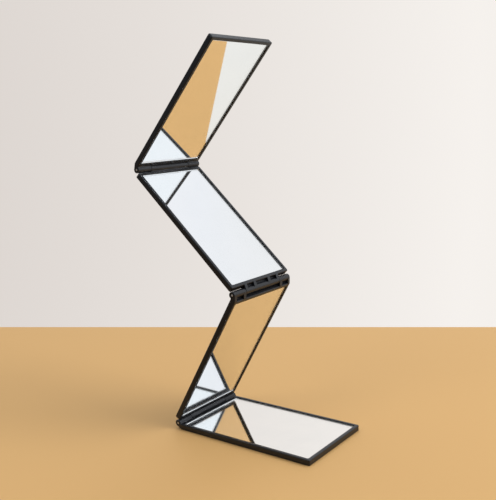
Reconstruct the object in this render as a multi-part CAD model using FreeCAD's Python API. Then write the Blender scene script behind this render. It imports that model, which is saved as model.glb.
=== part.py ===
import FreeCAD, Part
import math
import os
from collections import namedtuple

# Folding make-up mirror. Four framed leaves are joined end to end by three moulded barrel hinges and
# stand in a zigzag: the base leaf lies flat and the other three lean to and fro above it.
# Lengths are millimetres and angles degrees. +X runs along the base leaf from its hinge to its free
# end, +Y along the hinge axes to the user's right, +Z up. The origin is the centre of the base leaf's
# resting face. A leaf is drawn in its own frame first: x from its lower end to its upper end, y across
# it to the user's left, z from its back to its mirror side.

# Leaf tray, moulded in one piece with its hinge knuckles
LEAF_LENGTH = 85.9
LEAF_WIDTH = 52.0
LEAF_THICKNESS = 3.2
SIDE_RIM = 1.8
END_RIM = 1.9
CORNER_RADIUS = 0.8
EDGE_BEVEL = 0.3
RIM_BEVEL = 0.15

# Mirror glass and the two strips of foam tape that hold it
GLASS_THICKNESS = 1.1
GLASS_RECESS = 0.35
GLASS_CLEARANCE = 0.12
GLASS_CORNER_RADIUS = 0.6
GLASS_BEVEL = 0.12
TAPE_THICKNESS = 0.3
TAPE_WIDTH = 10.0
TAPE_MARGIN = 5.0

# Barrel hinge: the axis stands off the end of the leaf and just clear of the face that folds
HINGE_SETBACK = 2.15
AXIS_LIFT = 0.15
BARREL_DIAMETER = 3.8
OUTER_KNUCKLE_LENGTH = 10.2
KNUCKLE_GAP = 0.3
RIB_WIDTH = 2.1
SIDE_WINDOW = 5.9
WEB_THICKNESS = 1.2
ROOT_RADIUS = 0.5
ROOT_DEPTH = 1.0

# Hinge pins, pressed into the outer knuckles and running in the middle one
PIN_DIAMETER = 1.4
PIN_INSET = 0.2
PIN_ENGAGEMENT = 7.0
PIN_RUNNING_CLEARANCE = 0.04
PIN_TIP_CLEARANCE = 0.5
PIN_BEVEL = 0.15

# Resting pose: the angle that each hinge stands open, 0 being shut and 180 flat
BASE_HINGE_ANGLE = 59.5
MIDDLE_HINGE_ANGLE = 102.5
TOP_HINGE_ANGLE = 91.5
BASE_HEADING_ANGLE = 180.0

# Help for cutting and for finding edges
CUT_OVERRUN = 1.0
MATCH_TOLERANCE = 0.001

BARREL_RADIUS = BARREL_DIAMETER / 2
PIN_RADIUS = PIN_DIAMETER / 2
MIDDLE_KNUCKLE_LENGTH = LEAF_WIDTH - 2 * (OUTER_KNUCKLE_LENGTH + KNUCKLE_GAP)
POCKET_DEPTH = GLASS_RECESS + GLASS_THICKNESS + TAPE_THICKNESS
POCKET_FLOOR = LEAF_THICKNESS - POCKET_DEPTH
POCKET_LENGTH = LEAF_LENGTH - 2 * END_RIM
POCKET_WIDTH = LEAF_WIDTH - 2 * SIDE_RIM

# A leaf names the knuckles at its two ends, and a hinge the face that it folds together
OUTER, MIDDLE, FREE = "outer", "middle", "free"
MIRROR_SIDE, BACK_SIDE = "mirror side", "back side"
Leaf = namedtuple("Leaf", "name lower_knuckles upper_knuckles")
Hinge = namedtuple("Hinge", "name folding_face angle")
LEAVES = [
    Leaf("base", FREE, OUTER),
    Leaf("lower", MIDDLE, OUTER),
    Leaf("upper", MIDDLE, MIDDLE),
    Leaf("top", OUTER, FREE),
]
HINGES = [
    Hinge("base_hinge", MIRROR_SIDE, BASE_HINGE_ANGLE),
    Hinge("middle_hinge", BACK_SIDE, MIDDLE_HINGE_ANGLE),
    Hinge("top_hinge", MIRROR_SIDE, TOP_HINGE_ANGLE),
]


def flat_box(low_x, length, width, low_z, height):
    """A box centred across the leaf."""
    return Part.makeBox(length, width, height, FreeCAD.Vector(low_x, -width / 2, low_z))


def level_edges(shape, level):
    """Edges that lie in the plane z = level."""
    found = []
    for edge in shape.Edges:
        box = edge.BoundBox
        if box.ZLength < MATCH_TOLERANCE and abs(box.ZMin - level) < MATCH_TOLERANCE:
            found.append(edge)
    return found


def upright_edges(shape, places):
    """Edges along z whose x is one of the places."""
    found = []
    for edge in shape.Edges:
        box = edge.BoundBox
        upright = box.XLength < MATCH_TOLERANCE and box.YLength < MATCH_TOLERANCE
        if upright and any(abs(box.XMin - place) < MATCH_TOLERANCE for place in places):
            found.append(edge)
    return found


def rounded_box(low_x, length, width, low_z, height, corner_radius):
    """A box centred across the leaf with its four upright corners rounded."""
    box = flat_box(low_x, length, width, low_z, height)
    return box.makeFillet(corner_radius, upright_edges(box, (low_x, low_x + length)))


class HingeEnd:
    """One end of a leaf, seen along the hinge axis.

    u runs out of the end wall, and depth from the folding face towards the other face.
    """

    def __init__(self, at_upper_end, folding_face):
        self.at_upper_end = at_upper_end
        self.folding_face = folding_face

    def point(self, u, depth, y=0):
        """The leaf's own point at u, depth and y."""
        x = LEAF_LENGTH + u if self.at_upper_end else -u
        z = LEAF_THICKNESS - depth if self.folding_face == MIRROR_SIDE else depth
        return FreeCAD.Vector(x, y, z)

    def axis_point(self, y=0):
        """The point of the hinge axis at y."""
        return self.point(HINGE_SETBACK, -AXIS_LIFT, y)

    def barrel_point(self, angle):
        """The point of the barrel's circle at an angle from u towards depth."""
        return self.point(
            HINGE_SETBACK + BARREL_RADIUS * math.cos(angle),
            -AXIS_LIFT + BARREL_RADIUS * math.sin(angle),
        )

    def outline(self, last_angle, foot_depth):
        """Face of a knuckle: over the root radius, round the barrel to last_angle, then back to the leaf.

        The straight flank meets the leaf's end wall at foot_depth.
        """
        rise = ROOT_RADIUS - AXIS_LIFT
        reach = math.sqrt((BARREL_RADIUS + ROOT_RADIUS) ** 2 - rise**2)
        root_u = HINGE_SETBACK - reach
        root_angle = math.atan2(rise, reach)
        half_way = (math.pi / 2 + root_angle) / 2
        root_middle = self.point(
            root_u + ROOT_RADIUS * math.cos(half_way),
            -ROOT_RADIUS + ROOT_RADIUS * math.sin(half_way),
        )
        first_angle = math.pi + root_angle
        turn_end = last_angle + 2 * math.pi
        inner_top = self.point(-ROOT_DEPTH, 0)
        root_start = self.point(root_u, 0)
        barrel_start = self.barrel_point(first_angle)
        barrel_end = self.barrel_point(turn_end)
        foot = self.point(0, foot_depth)
        inner_foot = self.point(-ROOT_DEPTH, foot_depth)
        edges = [
            Part.LineSegment(inner_top, root_start),
            Part.Arc(root_start, root_middle, barrel_start),
            Part.Arc(barrel_start, self.barrel_point((first_angle + turn_end) / 2), barrel_end),
            Part.LineSegment(barrel_end, foot),
            Part.LineSegment(foot, inner_foot),
            Part.LineSegment(inner_foot, inner_top),
        ]
        return Part.Face(Part.Wire([edge.toShape() for edge in edges]))

    def rib(self, low_y):
        """A rib: the barrel's circle with a flank that runs straight to the far face of the leaf."""
        drop = LEAF_THICKNESS + AXIS_LIFT
        to_corner = math.atan2(drop, -HINGE_SETBACK)
        to_flank = math.acos(BARREL_RADIUS / math.hypot(HINGE_SETBACK, drop))
        face = self.outline(to_corner - to_flank, LEAF_THICKNESS)
        return self.extruded(face, low_y, RIB_WIDTH)

    def barrel(self, low_y, length):
        """The barrel and the web that joins it to the leaf under the folding face."""
        web_angle = math.pi - math.asin((WEB_THICKNESS + AXIS_LIFT) / BARREL_RADIUS)
        return self.extruded(self.outline(web_angle, WEB_THICKNESS), low_y, length)

    def lip(self):
        """The square edge that the end wall keeps along the folding face, between the leaf's corners."""
        edge = self.point(0, 0)
        inner = self.point(-ROOT_DEPTH, EDGE_BEVEL)
        width = LEAF_WIDTH - 2 * CORNER_RADIUS
        return flat_box(min(edge.x, inner.x), ROOT_DEPTH, width, min(edge.z, inner.z), EDGE_BEVEL)

    def extruded(self, face, low_y, length):
        """A face of the hinge end drawn out across the leaf."""
        face.translate(FreeCAD.Vector(0, low_y, 0))
        return face.extrude(FreeCAD.Vector(0, length, 0))

    def cylinder(self, radius, low_y, length):
        """A cylinder on the hinge axis."""
        return Part.makeCylinder(radius, length, self.axis_point(low_y), FreeCAD.Vector(0, 1, 0))

    def ribbed_knuckle(self, rib_places, low_y, length):
        """A barrel and its ribs, which leave cored windows between them."""
        ribs = [self.rib(place) for place in rib_places]
        barrel = self.barrel(low_y + RIB_WIDTH / 2, length - RIB_WIDTH)
        return ribs + [barrel]

    def middle_knuckle(self):
        """The long knuckle: a rib at each end, two between them and a blind bore in each end."""
        low = -MIDDLE_KNUCKLE_LENGTH / 2
        inner = low + RIB_WIDTH + SIDE_WINDOW
        places = [low, inner, -inner - RIB_WIDTH, -low - RIB_WIDTH]
        bore_depth = PIN_ENGAGEMENT + PIN_TIP_CLEARANCE
        bore_radius = PIN_RADIUS + PIN_RUNNING_CLEARANCE
        bores = [
            self.cylinder(bore_radius, low - CUT_OVERRUN, bore_depth + CUT_OVERRUN),
            self.cylinder(bore_radius, -low - bore_depth, bore_depth + CUT_OVERRUN),
        ]
        return self.ribbed_knuckle(places, low, MIDDLE_KNUCKLE_LENGTH), bores

    def outer_knuckles(self):
        """The two short knuckles: a rib at each end, the sides of the leaf bevelled, and a bore through."""
        solids = []
        for low in (-LEAF_WIDTH / 2, LEAF_WIDTH / 2 - OUTER_KNUCKLE_LENGTH):
            places = [low, low + OUTER_KNUCKLE_LENGTH - RIB_WIDTH]
            solids += self.ribbed_knuckle(places, low, OUTER_KNUCKLE_LENGTH)
        bore = self.cylinder(PIN_RADIUS, -LEAF_WIDTH / 2 - CUT_OVERRUN, LEAF_WIDTH + 2 * CUT_OVERRUN)
        return [self.side_bevelled(solid) for solid in solids], [bore]

    def side_bevelled(self, solid):
        """The solid with its edges in the side of the leaf bevelled, but not the one buried in the leaf."""
        inner_x = self.point(-ROOT_DEPTH, 0).x
        edges = []
        for edge in solid.Edges:
            box = edge.BoundBox
            off_side = max(box.YLength, abs(abs(box.YMin) - LEAF_WIDTH / 2))
            off_buried = max(box.XLength, abs(box.XMin - inner_x))
            if off_side < MATCH_TOLERANCE < off_buried:
                edges.append(edge)
        return solid.makeChamfer(EDGE_BEVEL, edges) if edges else solid


def inside_pocket(box):
    """Whether a bounding box lies within the pocket's outline."""
    low_x = END_RIM - MATCH_TOLERANCE
    high_x = END_RIM + POCKET_LENGTH + MATCH_TOLERANCE
    reach_y = POCKET_WIDTH / 2 + MATCH_TOLERANCE
    return box.XMin > low_x and box.XMax < high_x and box.YMin > -reach_y and box.YMax < reach_y


def make_tray(leaf, lower_end, upper_end):
    """The moulded tray: a bevelled plate with the mirror's pocket, and its knuckles at one or both ends."""
    plate = flat_box(0, LEAF_LENGTH, LEAF_WIDTH, 0, LEAF_THICKNESS)
    rounded_ends = []
    if leaf.lower_knuckles != OUTER:
        rounded_ends.append(0)
    if leaf.upper_knuckles != OUTER:
        rounded_ends.append(LEAF_LENGTH)
    plate = plate.makeFillet(CORNER_RADIUS, upright_edges(plate, rounded_ends))
    plate = plate.makeChamfer(EDGE_BEVEL, level_edges(plate, 0) + level_edges(plate, LEAF_THICKNESS))
    pocket = rounded_box(
        END_RIM, POCKET_LENGTH, POCKET_WIDTH, POCKET_FLOOR, POCKET_DEPTH + CUT_OVERRUN, GLASS_CORNER_RADIUS
    )
    tray = plate.cut(pocket)
    mouth = [edge for edge in level_edges(tray, LEAF_THICKNESS) if inside_pocket(edge.BoundBox)]
    tray = tray.makeChamfer(RIM_BEVEL, mouth)
    for kind, end in ((leaf.lower_knuckles, lower_end), (leaf.upper_knuckles, upper_end)):
        if kind == FREE:
            continue
        solids, bores = end.middle_knuckle() if kind == MIDDLE else end.outer_knuckles()
        tray = tray.multiFuse(solids + [end.lip()])
        tray = tray.cut(Part.makeCompound(bores))
    return tray.removeSplitter()


def make_mirror():
    """The glass plate, with seamed edges, standing on its tape a little below the rim."""
    glass = rounded_box(
        END_RIM + GLASS_CLEARANCE,
        POCKET_LENGTH - 2 * GLASS_CLEARANCE,
        POCKET_WIDTH - 2 * GLASS_CLEARANCE,
        POCKET_FLOOR + TAPE_THICKNESS,
        GLASS_THICKNESS,
        GLASS_CORNER_RADIUS,
    )
    return glass.makeChamfer(GLASS_BEVEL, level_edges(glass, LEAF_THICKNESS - GLASS_RECESS))


def make_tape(side):
    """One strip of foam tape on the pocket's floor, along the side of the leaf that side points to."""
    strip = flat_box(
        END_RIM + TAPE_MARGIN, POCKET_LENGTH - 2 * TAPE_MARGIN, TAPE_WIDTH, POCKET_FLOOR, TAPE_THICKNESS
    )
    strip.translate(FreeCAD.Vector(0, side * (POCKET_WIDTH / 2 - TAPE_MARGIN - TAPE_WIDTH / 2), 0))
    return strip


def make_pin(end, side):
    """One steel pin, from just inside the side of the leaf through an outer knuckle into the middle one."""
    length = OUTER_KNUCKLE_LENGTH - PIN_INSET + KNUCKLE_GAP + PIN_ENGAGEMENT
    outer_y = LEAF_WIDTH / 2 - PIN_INSET
    low_y = outer_y - length if side > 0 else -outer_y
    pin = end.cylinder(PIN_RADIUS, low_y, length)
    rims = [edge for edge in pin.Edges if edge.BoundBox.YLength < MATCH_TOLERANCE]
    return pin.makeChamfer(PIN_BEVEL, rims)


def leaf_placement(heading, own_point, meets):
    """Placement of a leaf that climbs at a heading, with its own_point brought to where it meets."""
    turn = math.radians(heading)
    along = FreeCAD.Vector(math.cos(turn), 0, math.sin(turn))
    facing = FreeCAD.Vector(math.sin(turn), 0, -math.cos(turn))
    rotation = FreeCAD.Rotation(along, facing.cross(along), facing, "XZY")
    return FreeCAD.Placement(meets - rotation.multVec(own_point), rotation)


def export(shape, placement, name):
    """Write one node in its resting place."""
    placed = shape.copy()
    placed.Placement = placement.multiply(placed.Placement)
    placed.exportStep(f"parts/{name}.step")
    print(f"{name}: {len(placed.Solids)} solid, {placed.Volume:.2f} mm3, valid {placed.isValid()}")


def main():
    """Build each leaf with the pins that it carries, hinge by hinge from the base up."""
    os.makedirs("parts", exist_ok=True)
    sides = {"left": 1, "right": -1}
    heading = BASE_HEADING_ANGLE
    placement = leaf_placement(heading, FreeCAD.Vector(LEAF_LENGTH / 2, 0, 0), FreeCAD.Vector(0, 0, 0))
    for leaf, below, above in zip(LEAVES, [None] + HINGES, HINGES + [None]):
        lower_end = HingeEnd(False, below.folding_face) if below else None
        upper_end = HingeEnd(True, above.folding_face) if above else None
        if below:
            turn = 180 - below.angle
            heading += turn if below.folding_face == BACK_SIDE else -turn
            placement = leaf_placement(heading, lower_end.axis_point(), axis)
        export(make_tray(leaf, lower_end, upper_end), placement, f"{leaf.name}_tray")
        export(make_mirror(), placement, f"{leaf.name}_mirror")
        for side, sign in sides.items():
            export(make_tape(sign), placement, f"{leaf.name}_tape_{side}")
            if leaf.lower_knuckles == OUTER:
                export(make_pin(lower_end, sign), placement, f"{below.name}_pin_{side}")
            if leaf.upper_knuckles == OUTER:
                export(make_pin(upper_end, sign), placement, f"{above.name}_pin_{side}")
        if above:
            axis = placement.multVec(upper_end.axis_point())
            print(f"{above.name} axis: x {axis.x:.4f}, z {axis.z:.4f}")


main()
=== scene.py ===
"""Looks of a folding make-up mirror: four framed leaves on barrel hinges, on a pale studio table.

Lengths are metres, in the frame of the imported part: +X runs along the base leaf from its hinge to its
free end, +Y along the hinge axes, +Z up, and the origin is the centre of the base leaf's resting face.
"""
import logging
import math
from abc import ABC, abstractmethod
from dataclasses import dataclass, field
from enum import Enum
from typing import Any

import bmesh
import bpy
from mathutils import Matrix, Vector


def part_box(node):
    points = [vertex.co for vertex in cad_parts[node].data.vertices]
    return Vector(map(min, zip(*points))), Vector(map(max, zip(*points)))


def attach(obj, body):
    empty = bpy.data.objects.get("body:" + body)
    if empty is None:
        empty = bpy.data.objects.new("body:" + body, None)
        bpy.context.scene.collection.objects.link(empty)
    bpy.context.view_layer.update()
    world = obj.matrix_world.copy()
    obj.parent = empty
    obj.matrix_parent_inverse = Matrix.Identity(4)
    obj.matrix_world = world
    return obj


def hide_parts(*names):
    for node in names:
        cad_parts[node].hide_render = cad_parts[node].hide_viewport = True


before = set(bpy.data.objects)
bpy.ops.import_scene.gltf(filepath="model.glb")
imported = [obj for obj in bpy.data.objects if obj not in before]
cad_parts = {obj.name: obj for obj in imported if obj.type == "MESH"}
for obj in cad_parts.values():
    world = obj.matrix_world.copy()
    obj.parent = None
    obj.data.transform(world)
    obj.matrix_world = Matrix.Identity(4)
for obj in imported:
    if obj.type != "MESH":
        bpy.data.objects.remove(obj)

Colour = tuple[float, float, float]
Point = tuple[float, float, float]
Range = tuple[float, float]
Socket = bpy.types.NodeSocket

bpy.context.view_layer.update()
MILLIMETRE = 0.001
WHITE: Colour = (1.0, 1.0, 1.0)
WHOLE: Range = (0.0, 1.0)
DIRECTION: Range = (-1.0, 1.0)

# Noise seldom leaves this range, so finishes spread it from here.
MOTTLE: Range = (0.3, 0.7)

log = logging.getLogger("folding_mirror")


class LeafName(Enum):
    """The four leaves, from the table up."""

    BASE = "base"
    LOWER = "lower"
    UPPER = "upper"
    TOP = "top"


class HingeName(Enum):
    """The three hinges, from the table up."""

    BASE = "base_hinge"
    MIDDLE = "middle_hinge"
    TOP = "top_hinge"


class Hand(Enum):
    """The two sides of a leaf, as the person in front of it names them."""

    LEFT = "left"
    RIGHT = "right"


def opaque(colour: Colour) -> tuple[float, float, float, float]:
    """The colour as a socket takes it, with full alpha."""
    return (*colour, 1.0)


class NodeSheet:
    """The node tree of one material or world, written node by node."""

    # A mix node has sockets of one name for several kinds of value. These are the colours' numbers.
    MIX_SHARE = 0
    MIX_FIRST = 6
    MIX_SECOND = 7
    MIX_RESULT = 2
    BEVEL_SAMPLES = 8

    def __init__(self, tree: bpy.types.NodeTree) -> None:
        """Write on a tree that Blender has just made."""
        self.tree = tree

    def add(self, kind: str, inputs: dict[Any, Any] | None = None, **settings: Any) -> bpy.types.Node:
        """Add a node and fill it in.

        Args:
            kind: Blender's type name of the node.
            inputs: Values for the node's sockets, by name or number. A socket as value makes a link.
            settings: The node's own options.

        Returns:
            The new node.
        """
        node = self.tree.nodes.new(kind)
        for option, value in settings.items():
            setattr(node, option, value)
        for socket, value in (inputs or {}).items():
            self.feed(node, socket, value)
        return node

    def feed(self, node: bpy.types.Node, socket: Any, value: Any) -> None:
        """Set one socket of a node, or link it when the value is another node's output.

        Args:
            node: The node that takes the value.
            socket: The name or number of its input.
            value: The value, or the output to link.
        """
        if isinstance(value, Socket):
            self.tree.links.new(value, node.inputs[socket])
        else:
            node.inputs[socket].default_value = value

    def place(self, output: str = "Object") -> Socket:
        """One output of the texture coordinates."""
        return self.add("ShaderNodeTexCoord").outputs[output]

    def axis(self, vector: Socket, name: str) -> Socket:
        """One axis of a vector, by its letter."""
        return self.add("ShaderNodeSeparateXYZ", {"Vector": vector}).outputs[name]

    def noise(self, size: float, detail: float = 2.0, stretch: Point | None = None) -> Socket:
        """Soft random mottling on the object's own coordinates.

        Args:
            size: Width of one mottle.
            detail: How many finer layers it carries.
            stretch: How many times longer a mottle is along each axis.

        Returns:
            The strength of the mottling, about 0.5 on the whole.
        """
        vector = self.place()
        if stretch:
            scale = tuple(1 / length for length in stretch)
            vector = self.add("ShaderNodeMapping", {"Vector": vector, "Scale": scale}).outputs[0]
        node = self.add("ShaderNodeTexNoise", {"Vector": vector, "Scale": 1 / size, "Detail": detail})
        return node.outputs["Fac"]

    def span(self, value: Socket, source: Range, target: Range = WHOLE) -> Socket:
        """Carry a value from one range to another, held at the ends.

        Args:
            value: What is carried.
            source: The range that it is read in.
            target: The range that it is written in.

        Returns:
            The carried value.
        """
        sockets = {"Value": value, "From Min": source[0], "From Max": source[1],
                   "To Min": target[0], "To Max": target[1]}
        return self.add("ShaderNodeMapRange", sockets).outputs["Result"]

    def combine(self, operation: str, first: Any, second: Any) -> Socket:
        """Two values put together by one operation of arithmetic."""
        return self.add("ShaderNodeMath", {0: first, 1: second}, operation=operation).outputs[0]

    def blend(self, share: Socket, first: Any, second: Any) -> Socket:
        """The first colour where the share is 0, the second where it is 1."""
        sockets = {self.MIX_SHARE: share, self.MIX_FIRST: first, self.MIX_SECOND: second}
        return self.add("ShaderNodeMix", sockets, data_type="RGBA").outputs[self.MIX_RESULT]

    def ramp(self, share: Socket, stops: dict[float, Colour]) -> Socket:
        """Run a share through a row of colours.

        Args:
            share: Where along the row to read, from 0 to 1.
            stops: The colours, by their places along the row, lowest first.

        Returns:
            The colour at that place.
        """
        node = self.add("ShaderNodeValToRGB", {"Fac": share})
        elements = node.color_ramp.elements
        for _ in range(len(stops) - len(elements)):
            elements.new(1.0)
        for element, (position, colour) in zip(elements, stops.items()):
            element.position = position
            element.color = opaque(colour)
        return node.outputs["Color"]

    def rounded(self, radius: float) -> Socket:
        """The surface's normal as it would be with its edges rounded."""
        return self.add("ShaderNodeBevel", {"Radius": radius}, samples=self.BEVEL_SAMPLES).outputs["Normal"]

    def relief(self, height: Socket, strength: float, depth: float, normal: Socket | None = None) -> Socket:
        """Raise a fine pattern from a surface.

        Args:
            height: The pattern.
            strength: How much of it shows.
            depth: How high it stands.
            normal: The normal of the surface below, its own if none is given.

        Returns:
            The normal of the raised surface.
        """
        sockets = {"Height": height, "Strength": strength, "Distance": depth}
        if normal:
            sockets["Normal"] = normal
        return self.add("ShaderNodeBump", sockets).outputs["Normal"]


class Finish(ABC):
    """A surface that a piece can be given."""

    def material(self, name: str) -> bpy.types.Material:
        """Mix the finish for one piece.

        Args:
            name: What the material is called.

        Returns:
            The new material.
        """
        material = bpy.data.materials.new(name)
        material.use_nodes = True
        self.paint(NodeSheet(material.node_tree), material.node_tree.nodes["Principled BSDF"])
        return material

    def dress(self, piece: bpy.types.Object) -> None:
        """Give the piece this finish, in place of what it came with.

        Args:
            piece: The piece to dress.
        """
        material = self.material(f"{piece.name}_finish")
        if not piece.material_slots:
            piece.data.materials.append(None)
        for slot in piece.material_slots:
            slot.material = material
        log.info("%s: %s", piece.name, type(self).__name__)

    @abstractmethod
    def paint(self, sheet: NodeSheet, shader: bpy.types.Node) -> None:
        """Write the finish's nodes.

        Args:
            sheet: The material's node tree.
            shader: Its shader node.
        """


@dataclass(frozen=True)
class MouldedPlastic(Finish):
    """Satin black plastic with the grain of an eroded mould, rubbed bright along its edges."""

    dark: Colour = (0.0028, 0.0028, 0.0042)
    pale: Colour = (0.0042, 0.0042, 0.0059)
    rubbed: Colour = (0.0120, 0.0120, 0.0150)
    gloss: float = 0.52
    gloss_tint: Colour = (0.90, 0.94, 1.0)
    roughness: Range = (0.37, 0.44)
    flow_size: float = 9 * MILLIMETRE
    grain_size: float = 0.22 * MILLIMETRE
    grain_depth: float = 0.006 * MILLIMETRE
    grain_strength: float = 0.35
    edge_width: float = 0.28 * MILLIMETRE
    edge_cosine: Range = (0.985, 0.86)
    rub_flow: Range = (0.35, 0.65)
    rub_share: Range = (0.35, 1.0)
    rub_polish: float = 0.08

    def paint(self, sheet: NodeSheet, shader: bpy.types.Node) -> None:
        """Write the finish's nodes.

        Args:
            sheet: The material's node tree.
            shader: Its shader node.
        """
        flow = sheet.noise(self.flow_size, detail=4.0)
        grain = sheet.noise(self.grain_size, detail=3.0)
        soft = sheet.rounded(self.edge_width)
        true = sheet.add("ShaderNodeNewGeometry").outputs["Normal"]
        alike = sheet.add("ShaderNodeVectorMath", {0: soft, 1: true}, operation="DOT_PRODUCT")
        edge = sheet.span(alike.outputs["Value"], self.edge_cosine)
        rub = sheet.combine("MULTIPLY", edge, sheet.span(flow, self.rub_flow, self.rub_share))
        body = sheet.blend(sheet.span(flow, MOTTLE), opaque(self.dark), opaque(self.pale))
        sheet.feed(shader, "Base Color", sheet.blend(rub, body, opaque(self.rubbed)))
        satin = sheet.span(flow, MOTTLE, self.roughness)
        polish = sheet.combine("MULTIPLY", rub, self.rub_polish)
        sheet.feed(shader, "Roughness", sheet.combine("SUBTRACT", satin, polish))
        shader.inputs["Specular IOR Level"].default_value = self.gloss
        shader.inputs["Specular Tint"].default_value = opaque(self.gloss_tint)
        sheet.feed(shader, "Normal", sheet.relief(grain, self.grain_strength, self.grain_depth, soft))


@dataclass(frozen=True)
class ClearGlass(Finish):
    """Clear float glass with the faint smears that fingers leave."""

    tint: Colour = (0.996, 0.999, 0.998)
    refraction: float = 1.52
    smear_size: float = 7 * MILLIMETRE
    smear_cover: Range = (0.5, 0.72)
    smear_roughness: Range = (0.0, 0.02)

    def paint(self, sheet: NodeSheet, shader: bpy.types.Node) -> None:
        """Write the finish's nodes.

        Args:
            sheet: The material's node tree.
            shader: Its shader node.
        """
        smear = sheet.noise(self.smear_size, detail=5.0)
        sheet.feed(shader, "Roughness", sheet.span(smear, self.smear_cover, self.smear_roughness))
        shader.inputs["Base Color"].default_value = opaque(self.tint)
        shader.inputs["IOR"].default_value = self.refraction
        shader.inputs["Transmission Weight"].default_value = 1.0


@dataclass(frozen=True)
class CutGlass(Finish):
    """The scored and snapped end of a glass plate, clear but rippled."""

    tint: Colour = (0.955, 0.985, 0.972)
    refraction: float = 1.52
    roughness: Range = (0.04, 0.16)
    ripple_size: float = 0.5 * MILLIMETRE
    ripple_depth: float = 0.0125 * MILLIMETRE
    ripple_strength: float = 0.2

    def paint(self, sheet: NodeSheet, shader: bpy.types.Node) -> None:
        """Write the finish's nodes.

        Args:
            sheet: The material's node tree.
            shader: Its shader node.
        """
        ripple = sheet.noise(self.ripple_size, detail=3.0)
        sheet.feed(shader, "Roughness", sheet.span(ripple, MOTTLE, self.roughness))
        sheet.feed(shader, "Normal", sheet.relief(ripple, self.ripple_strength, self.ripple_depth))
        shader.inputs["Base Color"].default_value = opaque(self.tint)
        shader.inputs["IOR"].default_value = self.refraction
        shader.inputs["Transmission Weight"].default_value = 1.0


@dataclass(frozen=True)
class GroundGlass(Finish):
    """The ground edge of a glass plate, with the grit's fine scores. Its near-black colour is painted shade,
    standing for the shade it lies in inside its black tray.
    """

    # Both colours are painted shade: the ground side is darkened to near black to stand for the shade it
    # lies in against the black tray. The noise between the two colours is the grit's own uneven tone.
    shaded_frost: Colour = (0.075, 0.085, 0.085)
    shaded_deep: Colour = (0.035, 0.042, 0.040)
    gloss: float = 0.2
    roughness: float = 0.55
    score_size: float = 0.09 * MILLIMETRE
    score_depth: float = 0.009 * MILLIMETRE
    score_strength: float = 0.4
    patch_size: float = 3.6 * MILLIMETRE
    wear: Range = (0.75, 1.25)

    def paint(self, sheet: NodeSheet, shader: bpy.types.Node) -> None:
        """Write the finish's nodes.

        Args:
            sheet: The material's node tree.
            shader: Its shader node.
        """
        score = sheet.noise(self.score_size, detail=4.0)
        patch = sheet.noise(self.patch_size)
        share = sheet.span(sheet.combine("ADD", score, patch), self.wear)
        # Painted shade: the near-black ground side, mottled by the grit's scores.
        sheet.feed(shader, "Base Color", sheet.blend(share, opaque(self.shaded_frost), opaque(self.shaded_deep)))
        sheet.feed(shader, "Normal", sheet.relief(score, self.score_strength, self.score_depth))
        shader.inputs["Specular IOR Level"].default_value = self.gloss
        shader.inputs["Roughness"].default_value = self.roughness


@dataclass(frozen=True)
class SilverCoat(Finish):
    """The silver on the back of the glass, a trace cloudier from place to place."""

    bright: Colour = (0.985, 0.990, 0.992)
    cloudy: Colour = (0.965, 0.974, 0.978)
    roughness: Range = (0.0, 0.012)
    cloud_size: float = 18 * MILLIMETRE
    cloud_cover: Range = (0.4, 0.7)

    def paint(self, sheet: NodeSheet, shader: bpy.types.Node) -> None:
        """Write the finish's nodes.

        Args:
            sheet: The material's node tree.
            shader: Its shader node.
        """
        cloud = sheet.span(sheet.noise(self.cloud_size, detail=4.0), self.cloud_cover)
        sheet.feed(shader, "Base Color", sheet.blend(cloud, opaque(self.bright), opaque(self.cloudy)))
        sheet.feed(shader, "Roughness", sheet.span(cloud, WHOLE, self.roughness))
        shader.inputs["Metallic"].default_value = 1.0


@dataclass(frozen=True)
class DrawnSteel(Finish):
    """Steel wire with fine lines along its length and ends that are tumbled round."""

    bright: Colour = (0.95, 0.97, 0.985)
    dull: Colour = (0.87, 0.89, 0.905)
    roughness: Range = (0.40, 0.55)
    end_radius: float = 0.70 * MILLIMETRE
    tarnish_size: float = 1.8 * MILLIMETRE
    line_width: float = 0.06 * MILLIMETRE
    line_depth: float = 0.003 * MILLIMETRE
    line_strength: float = 0.3
    line_stretch: Point = (1.0, 60.0, 1.0)

    def paint(self, sheet: NodeSheet, shader: bpy.types.Node) -> None:
        """Write the finish's nodes.

        Args:
            sheet: The material's node tree.
            shader: Its shader node.
        """
        lines = sheet.noise(self.line_width, detail=3.0, stretch=self.line_stretch)
        tarnish = sheet.noise(self.tarnish_size, detail=3.0)
        sheet.feed(shader, "Base Color", sheet.blend(tarnish, opaque(self.bright), opaque(self.dull)))
        sheet.feed(shader, "Roughness", sheet.span(lines, MOTTLE, self.roughness))
        tumbled = sheet.rounded(self.end_radius)
        sheet.feed(shader, "Normal", sheet.relief(lines, self.line_strength, self.line_depth, tumbled))
        shader.inputs["Metallic"].default_value = 1.0


@dataclass(frozen=True)
class FoamTape(Finish):
    """White foam of closed cells between two skins of glue, with painted shade darkening the hollow middle
    of its cells.
    """

    # The second colour is painted shade: the white foam is drawn darker towards the middle of its cells, as
    # shade in their hollows.
    cell_wall: Colour = (0.72, 0.71, 0.67)
    cell_shade: Colour = (0.50, 0.49, 0.45)
    roughness: float = 0.85
    cell_size: float = 0.16 * MILLIMETRE
    cell_depth: float = 0.04 * MILLIMETRE
    cell_strength: float = 0.6
    hollow_shade_reach: Range = (0.55, 0.15)

    def paint(self, sheet: NodeSheet, shader: bpy.types.Node) -> None:
        """Write the finish's nodes.

        Args:
            sheet: The material's node tree.
            shader: Its shader node.
        """
        sockets = {"Vector": sheet.place(), "Scale": 1 / self.cell_size}
        cells = sheet.add("ShaderNodeTexVoronoi", sockets).outputs["Distance"]
        # Painted shade: darker towards the middle of each of the cells, where their hollows lie.
        hollow_shade = sheet.span(cells, self.hollow_shade_reach)
        sheet.feed(shader, "Base Color", sheet.blend(hollow_shade, opaque(self.cell_wall), opaque(self.cell_shade)))
        sheet.feed(shader, "Normal", sheet.relief(cells, self.cell_strength, self.cell_depth))
        shader.inputs["Roughness"].default_value = self.roughness


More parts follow.
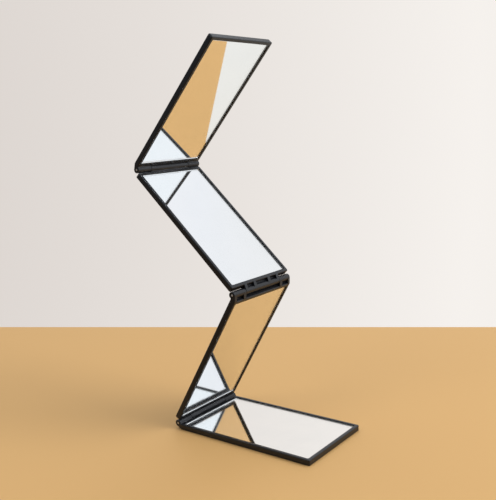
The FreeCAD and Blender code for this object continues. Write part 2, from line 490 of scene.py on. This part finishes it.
@dataclass(frozen=True)
class PaleTable(Finish):
    """A plain matt table top, whose reflections dim on the camera's side of the object."""

    colour: Colour = (0.72, 0.42, 0.152)
    roughness: float = 0.7
    dusk: Range = (-0.022, -0.10)
    dusk_share: float = 0.4

    def paint(self, sheet: NodeSheet, shader: bpy.types.Node) -> None:
        """Write the finish's nodes.

        Args:
            sheet: The material's node tree.
            shader: Its shader node.
        """
        reflected = sheet.add("ShaderNodeLightPath").outputs["Is Glossy Ray"]
        dusk = sheet.span(sheet.axis(sheet.place(), "Y"), self.dusk)
        share = sheet.combine("MULTIPLY", reflected, dusk)
        dim = tuple(part * self.dusk_share for part in self.colour)
        sheet.feed(shader, "Base Color", sheet.blend(share, opaque(self.colour), opaque(dim)))
        shader.inputs["Roughness"].default_value = self.roughness


class PlateSide(Enum):
    """The kinds of surface on a mirror plate, numbered as its material slots."""

    FACE = 0
    SIDE = 1
    END = 2
    BACK = 3


@dataclass
class MirrorPlate:
    """One mirror: a glass plate with ground sides, cut ends and silver on its back."""

    leaf: LeafName
    corner_radius: float = 0.6 * MILLIMETRE
    corner_segments: int = 8
    arris: float = 0.12 * MILLIMETRE
    arris_segments: int = 2
    glue_gap: float = 0.02 * MILLIMETRE
    flat_cosine: float = 0.999

    def solid(self) -> bpy.types.Object:
        """The mirror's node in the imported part."""
        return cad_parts[f"{self.leaf.value}_mirror"]

    def facing(self) -> Vector:
        """The direction that the mirror faces.

        Returns:
            The unit normal of the mirror's largest face, pointing away from the tape behind it.
        """
        normal = max(self.solid().data.polygons, key=lambda polygon: polygon.area).normal.copy()
        glass_low, glass_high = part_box(self.solid().name)
        tape_low, tape_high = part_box(f"{self.leaf.value}_tape_left")
        away = (glass_low + glass_high) - (tape_low + tape_high)
        away.y = 0
        return normal if normal.dot(away) > 0 else -normal

    def seat(self) -> tuple[Matrix, Vector]:
        """Find where the plate lies in its leaf.

        Returns:
            The way from the plate's own frame, centred with its face towards +Z, to its place, and its size.
        """
        facing = self.facing()
        across = Vector((0, 1, 0))
        axes = Matrix((across.cross(facing), across, facing))
        points = [axes @ vertex.co for vertex in self.solid().data.vertices]
        low = Vector([min(point[axis] for point in points) for axis in range(3)])
        high = Vector([max(point[axis] for point in points) for axis in range(3)])
        low.z += self.glue_gap
        back = axes.transposed()
        return Matrix.Translation(back @ ((low + high) / 2)) @ back.to_4x4(), high - low

    def side(self, normal: Vector) -> PlateSide:
        """Tell which kind of surface a face of the plate is.

        Args:
            normal: The face's normal in the plate's own frame.

        Returns:
            The kind of surface.
        """
        if abs(normal.z) > self.flat_cosine:
            return PlateSide.FACE if normal.z > 0 else PlateSide.BACK
        return PlateSide.END if abs(normal.x) > abs(normal.y) else PlateSide.SIDE

    def shape(self) -> bmesh.types.BMesh:
        """Cut the plate, round its corners, take the arris off its face and lay it in its leaf.

        Returns:
            The plate's shape, with a material slot for each kind of surface.
        """
        place, size = self.seat()
        shape = bmesh.new()
        bmesh.ops.create_cube(shape, size=1.0)
        bmesh.ops.scale(shape, vec=size, verts=shape.verts)
        uprights = [edge for edge in shape.edges if edge.verts[0].co.z * edge.verts[1].co.z < 0]
        bmesh.ops.bevel(shape, geom=uprights, offset=self.corner_radius, segments=self.corner_segments,
                        affect="EDGES", profile=0.5, material=-1)
        rim = [edge for edge in shape.edges if all(vert.co.z > 0 for vert in edge.verts)]
        bmesh.ops.bevel(shape, geom=rim, offset=self.arris, segments=self.arris_segments,
                        affect="EDGES", profile=0.5, material=-1)
        bmesh.ops.recalc_face_normals(shape, faces=shape.faces)
        for face in shape.faces:
            face.material_index = self.side(face.normal).value
        bmesh.ops.transform(shape, matrix=place, verts=shape.verts)
        return shape

    def build(self) -> bpy.types.Object:
        """Make the plate and give it its finishes.

        Returns:
            The finished plate, which stands for the mirror's node.
        """
        name = f"{self.leaf.value}_mirror_plate"
        mesh = bpy.data.meshes.new(name)
        shape = self.shape()
        shape.to_mesh(mesh)
        shape.free()
        plate = bpy.data.objects.new(name, mesh)
        bpy.context.scene.collection.objects.link(plate)
        self.dress(plate)
        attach(plate, f"{self.leaf.value}_leaf")
        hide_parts(self.solid().name)
        return plate

    def dress(self, plate: bpy.types.Object) -> None:
        """Give the plate its clear face, its ground sides, its cut ends and its silver.

        Args:
            plate: The plate, whose faces are already numbered by their kind.
        """
        finishes = {
            PlateSide.FACE: ClearGlass(),
            PlateSide.SIDE: GroundGlass(),
            PlateSide.END: CutGlass(),
            PlateSide.BACK: SilverCoat(),
        }
        for side in PlateSide:
            plate.data.materials.append(finishes[side].material(f"{plate.name}_{side.name.lower()}"))
        log.info("%s: %s", plate.name, ", ".join(type(finish).__name__ for finish in finishes.values()))


@dataclass
class Leaf:
    """One leaf: a moulded tray that holds a mirror on two strips of foam tape."""

    name: LeafName

    def node(self, piece: str) -> bpy.types.Object:
        """One of the leaf's pieces, by its short name."""
        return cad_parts[f"{self.name.value}_{piece}"]

    def build(self) -> None:
        """Make the mirror plate, and give the tray and the tape their finishes."""
        MirrorPlate(self.name).build()
        MouldedPlastic().dress(self.node("tray"))
        for hand in Hand:
            FoamTape().dress(self.node(f"tape_{hand.value}"))


@dataclass
class Hinge:
    """One hinge's two steel pins."""

    name: HingeName

    def dress(self) -> None:
        """Give both pins their finish."""
        for hand in Hand:
            DrawnSteel().dress(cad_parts[f"{self.name.value}_pin_{hand.value}"])


@dataclass(frozen=True)
class Viewpoint:
    """The camera: where it stands and how it is turned, in degrees."""

    place: Point = (0.23218, -0.32266, 0.17325)
    heading: float = 36.912
    dip: float = 10.013
    roll: float = -2.093
    focal_length: float = 53.976
    film_width: float = 36.0
    nearest: float = 10 * MILLIMETRE

    def set_up(self) -> None:
        """Make the camera and choose it for the scene."""
        data = bpy.data.cameras.new("studio_camera")
        data.sensor_width = self.film_width
        data.lens = self.focal_length
        data.clip_start = self.nearest
        camera = bpy.data.objects.new("studio_camera", data)
        camera.location = self.place
        turn = Matrix.Rotation(math.radians(self.heading), 3, "Z")
        tilt = Matrix.Rotation(math.radians(90 - self.dip), 3, "X")
        roll = Matrix.Rotation(math.radians(self.roll), 3, "Z")
        camera.rotation_euler = (turn @ tilt @ roll).to_euler()
        bpy.context.scene.collection.objects.link(camera)
        bpy.context.scene.camera = camera


@dataclass(frozen=True)
class Softbox:
    """One square studio lamp aimed at the object."""

    name: str
    place: Point
    width: float
    power: float
    tint: Colour = WHITE
    aim: Point = (-0.015, 0.0, 0.10)

    def set_up(self) -> None:
        """Hang the lamp and turn it to its aim."""
        data = bpy.data.lights.new(self.name, "AREA")
        data.size = self.width
        data.energy = self.power
        data.color = self.tint
        lamp = bpy.data.objects.new(self.name, data)
        lamp.location = self.place
        lamp.rotation_euler = (Vector(self.aim) - Vector(self.place)).to_track_quat("-Z", "Y").to_euler()
        bpy.context.scene.collection.objects.link(lamp)


@dataclass
class Studio:
    """The pale table, the backdrop and the lamps."""

    viewpoint: Viewpoint = Viewpoint()
    table_finish: PaleTable = PaleTable()
    table_heading: float = 29.344
    table_far_edge: float = 0.6036
    table_reach: float = 3.0
    table_drop: float = 0.05 * MILLIMETRE
    backdrop: dict[float, Colour] = field(default_factory=lambda: {
        0.08: (0.72, 0.67, 0.635),
        0.33: (0.92, 0.885, 0.85),
        0.50: (0.84, 0.815, 0.76),
        0.80: (0.88, 0.92, 0.96),
    })
    upper_wall: Colour = (0.86, 0.88, 0.92)
    wall_rise: Range = (0.45, 0.65)
    camera_side: Colour = (0.18, 0.22, 0.26)
    dusk: Range = (0.15, -0.65)
    bounces: int = 48
    lamps: tuple[Softbox, ...] = field(default_factory=lambda: (
        Softbox("key_softbox", (1.18, 0.39, 0.97), 0.9, 11.0),
        Softbox("fill_softbox", (-0.45, -1.13, 1.38), 0.75, 3.6),
        Softbox("rim_softbox", (-0.40, 0.90, 1.42), 0.6, 2.4, tint=(0.80, 0.90, 1.0)),
    ))

    def lay_table(self) -> bpy.types.Object:
        """Lay the table top, whose far edge lies a set way from the camera along the table's own heading.

        Returns:
            The table, marked as stage.
        """
        turn = Matrix.Rotation(math.radians(self.table_heading), 4, "Z")
        foot = Vector((self.viewpoint.place[0], self.viewpoint.place[1], -self.table_drop))
        back = Matrix.Translation((0, self.table_far_edge - self.table_reach, 0))
        shape = bmesh.new()
        bmesh.ops.create_grid(shape, x_segments=1, y_segments=1, size=self.table_reach)
        bmesh.ops.transform(shape, matrix=Matrix.Translation(foot) @ turn @ back, verts=shape.verts)
        mesh = bpy.data.meshes.new("studio_table")
        shape.to_mesh(mesh)
        shape.free()
        mesh.materials.append(self.table_finish.material("table_finish"))
        table = bpy.data.objects.new("studio_table", mesh)
        bpy.context.scene.collection.objects.link(table)
        return table

    def hang_backdrop(self) -> None:
        """Paint the world: a pale wall, cooler high up and to the right, dim on the camera's side.

        The camera itself sees the pale wall all round.
        """
        world = bpy.data.worlds.new("studio_backdrop")
        bpy.context.scene.world = world
        world.use_nodes = True
        world.node_tree.nodes.clear()
        sheet = NodeSheet(world.node_tree)
        direction = sheet.place("Generated")
        low_wall = sheet.ramp(sheet.span(sheet.axis(direction, "X"), DIRECTION), self.backdrop)
        rise = sheet.span(sheet.axis(direction, "Z"), self.wall_rise)
        wall = sheet.blend(rise, low_wall, opaque(self.upper_wall))
        dusk = sheet.span(sheet.axis(direction, "Y"), self.dusk)
        unseen = sheet.combine("SUBTRACT", 1.0, sheet.add("ShaderNodeLightPath").outputs["Is Camera Ray"])
        share = sheet.combine("MULTIPLY", dusk, unseen)
        colour = sheet.blend(share, wall, opaque(self.camera_side))
        glow = sheet.add("ShaderNodeBackground", {"Color": colour}).outputs[0]
        sheet.add("ShaderNodeOutputWorld", {"Surface": glow})

    def let_light_bounce(self) -> None:
        """Let light pass between facing mirrors often enough to keep their repeated images bright."""
        paths = bpy.context.scene.cycles
        paths.max_bounces = self.bounces
        paths.glossy_bounces = self.bounces
        paths.transmission_bounces = self.bounces

    def set_up(self) -> None:
        """Make the whole studio."""
        self.lay_table()
        self.hang_backdrop()
        for lamp in self.lamps:
            lamp.set_up()
        self.viewpoint.set_up()
        self.let_light_bounce()
        bpy.context.scene.view_settings.view_transform = "Standard"


def main() -> None:
    """Dress the leaves and the hinges, then set up the studio."""
    logging.basicConfig(level=logging.INFO, format="%(message)s")
    for leaf_name in LeafName:
        Leaf(leaf_name).build()
    for hinge_name in HingeName:
        Hinge(hinge_name).dress()
    Studio().set_up()


if __name__ == "__main__":
    main()
